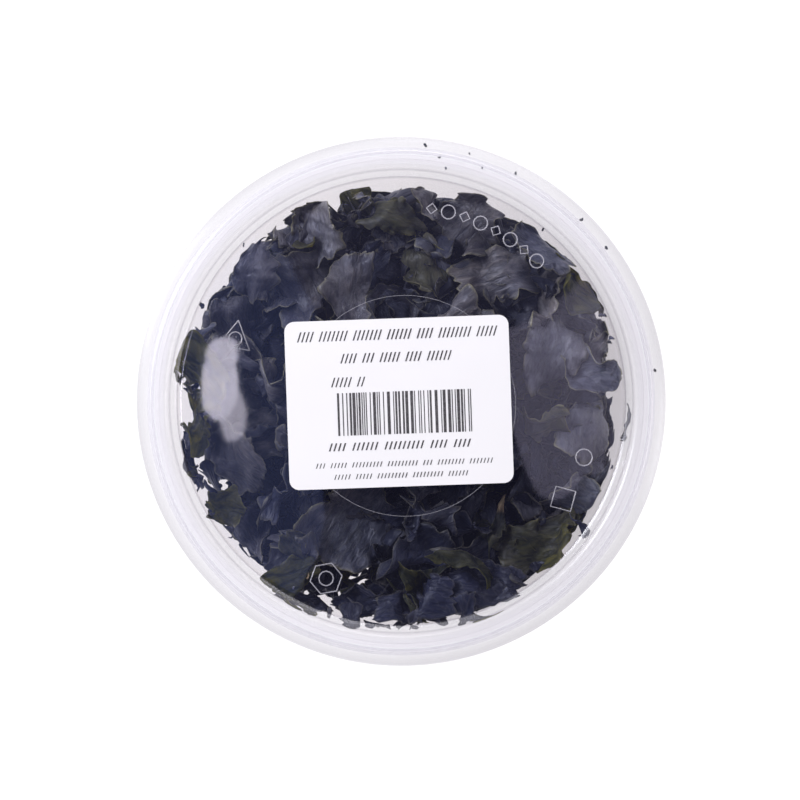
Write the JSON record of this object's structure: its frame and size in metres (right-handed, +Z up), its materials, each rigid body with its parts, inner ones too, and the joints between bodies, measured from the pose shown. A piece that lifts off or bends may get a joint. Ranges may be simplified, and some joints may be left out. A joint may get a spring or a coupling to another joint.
{
  "type": "lidded tub of dried cut wakame",
  "caption": "Round translucent snap-lid tub filled with crisp curled flakes of dried wakame seaweed, with a plain paper label on the lid.",
  "frame": {"origin": "the centre of the tub's foot, on the surface it stands on", "axes": "+Z up along the tub's axis, +X to the right and +Y to the top of the label as it is read"},
  "size_m": [0.095, 0.095, 0.048],
  "materials": {
    "plastic": "milky translucent polypropylene, softly glossy",
    "paper": "coated label paper",
    "dark": "dried seaweed, near black with a blue-grey bloom",
    "olive": "dried seaweed, thin and olive green where light comes through",
    "stem": "dried seaweed midrib, tan"
  },
  "bodies": {
    "root": {"flake_01": "dark", "flake_02": "olive", "flake_03": "dark", "flake_04": "dark", "flake_05": "olive", "flake_06": "dark", "flake_07": "dark", "flake_08": "dark", "flake_09": "olive", "flake_10": "dark", "flake_11": "dark", "flake_12": "dark", "flake_13": "olive", "flake_14": "dark", "flake_15": "olive", "flake_16": "stem", "flake_17": "dark", "flake_18": "olive", "flake_19": "dark", "flake_20": "dark", "flake_21": "dark", "flake_22": "dark", "flake_23": "stem", "flake_24": "olive", "flake_25": "olive", "flake_26": "dark", "flake_27": "olive", "flake_28": "olive", "flake_29": "dark", "flake_30": "dark", "flake_31": "dark", "flake_32": "dark", "heap": "dark", "label": "paper", "lid": "plastic", "tub": "plastic"}
  },
  "joints": []
}
